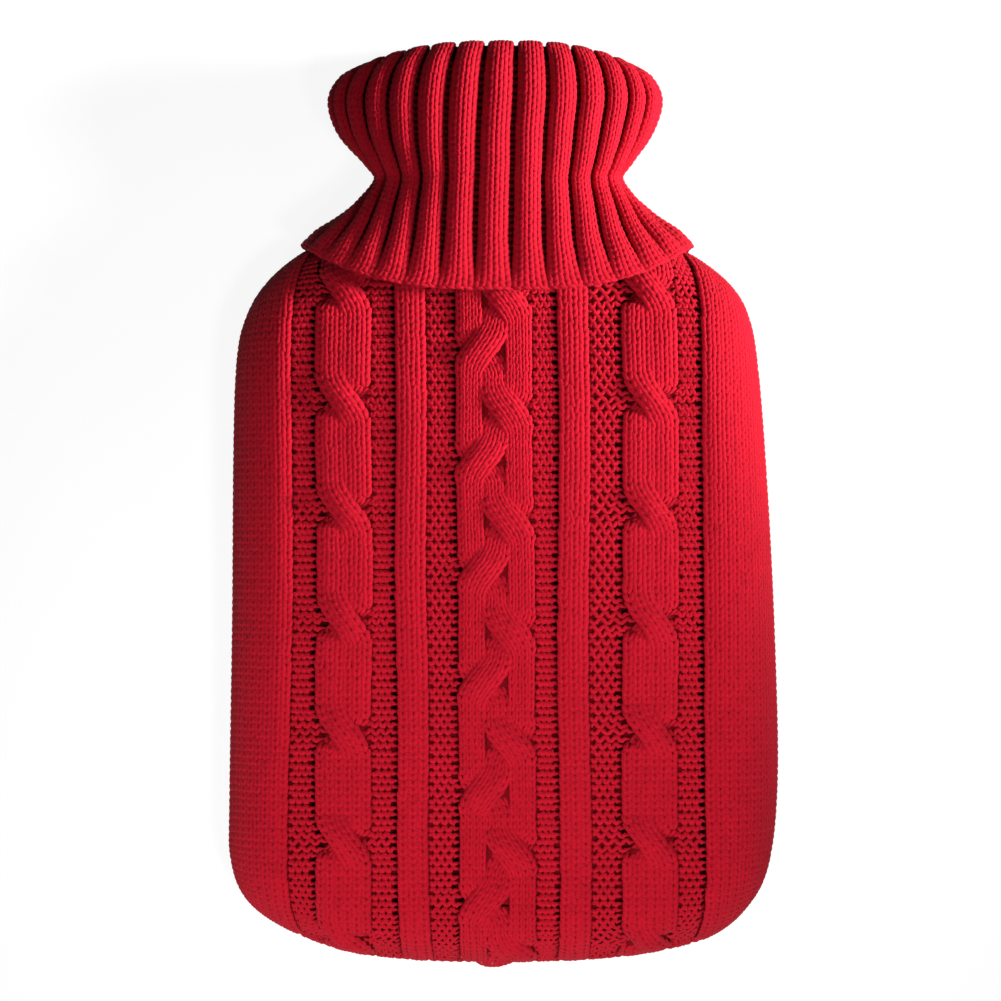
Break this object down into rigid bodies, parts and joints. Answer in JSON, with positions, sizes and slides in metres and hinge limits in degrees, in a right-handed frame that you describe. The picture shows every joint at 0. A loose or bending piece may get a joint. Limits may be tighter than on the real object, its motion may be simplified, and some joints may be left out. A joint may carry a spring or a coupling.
{
  "type": "knitted hot water bottle cover",
  "caption": "Cable knit hot water bottle cover with a folded ribbed roll neck, hollow and open at the mouth, lying on its back.",
  "frame": {"origin": "on the surface that the cover lies on, under the middle of the cover", "axes": "+Y from the foot to the neck, +Z the way the front faces, +X to the right as seen from the front"},
  "size_m": [0.2048, 0.3443, 0.0508],
  "materials": {
    "front_panel_yarn": "chunky crimson yarn in a cable knit",
    "back_panel_yarn": "chunky crimson yarn in a plain knit",
    "roll_neck_yarn": "chunky crimson yarn in a broad rib"
  },
  "bodies": {
    "root": {"front_panel": "front_panel_yarn", "back_panel": "back_panel_yarn", "roll_neck": "roll_neck_yarn"}
  },
  "joints": []
}
